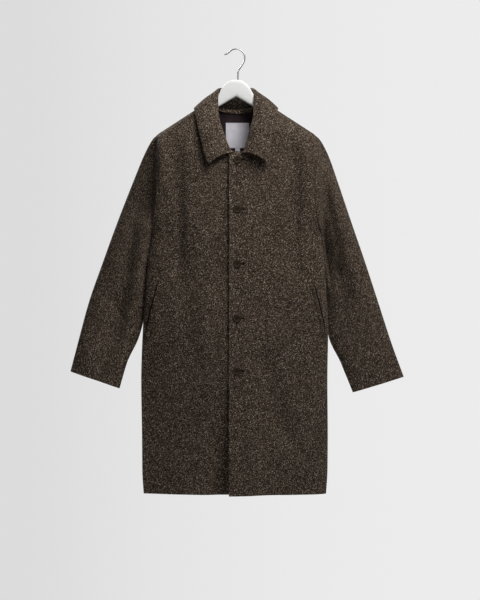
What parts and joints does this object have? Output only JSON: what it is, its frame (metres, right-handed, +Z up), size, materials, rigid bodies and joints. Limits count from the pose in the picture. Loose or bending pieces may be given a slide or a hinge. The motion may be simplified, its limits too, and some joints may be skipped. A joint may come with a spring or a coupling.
{
  "type": "car coat on hanger",
  "caption": "Knee-length single-breasted tweed car coat with a point collar and slanting welt pockets, hanging on a white hanger by its wire hook.",
  "frame": {"origin": "inside top of the hanger hook's crook, where a rail holds it", "axes": "+X to the wearer's left, -Y the coat's front, +Z up"},
  "size_m": [0.87, 0.1204, 1.1606],
  "materials": {
    "tweed": "rough salt-and-pepper tweed, dark brown with beige and grey flecks",
    "button": "dark brown horn-like resin, softly polished",
    "lining": "dark brown satin lining",
    "label": "bare white woven satin",
    "hanger": "white painted wood, satin",
    "hook": "bright plated wire"
  },
  "bodies": {
    "root": {"front_left": "tweed", "front_right": "tweed", "back": "tweed", "sleeve_left": "tweed", "sleeve_right": "tweed", "collar_stand": "tweed", "collar_fall": "tweed", "pocket_welt_left": "tweed", "pocket_welt_right": "tweed", "button_1": "button", "button_2": "button", "button_3": "button", "button_4": "button", "button_5": "button", "back_lining": "lining", "neck_label": "label", "size_tab": "label", "hanger": "hanger", "hanger_hook": "hook"}
  },
  "joints": []
}
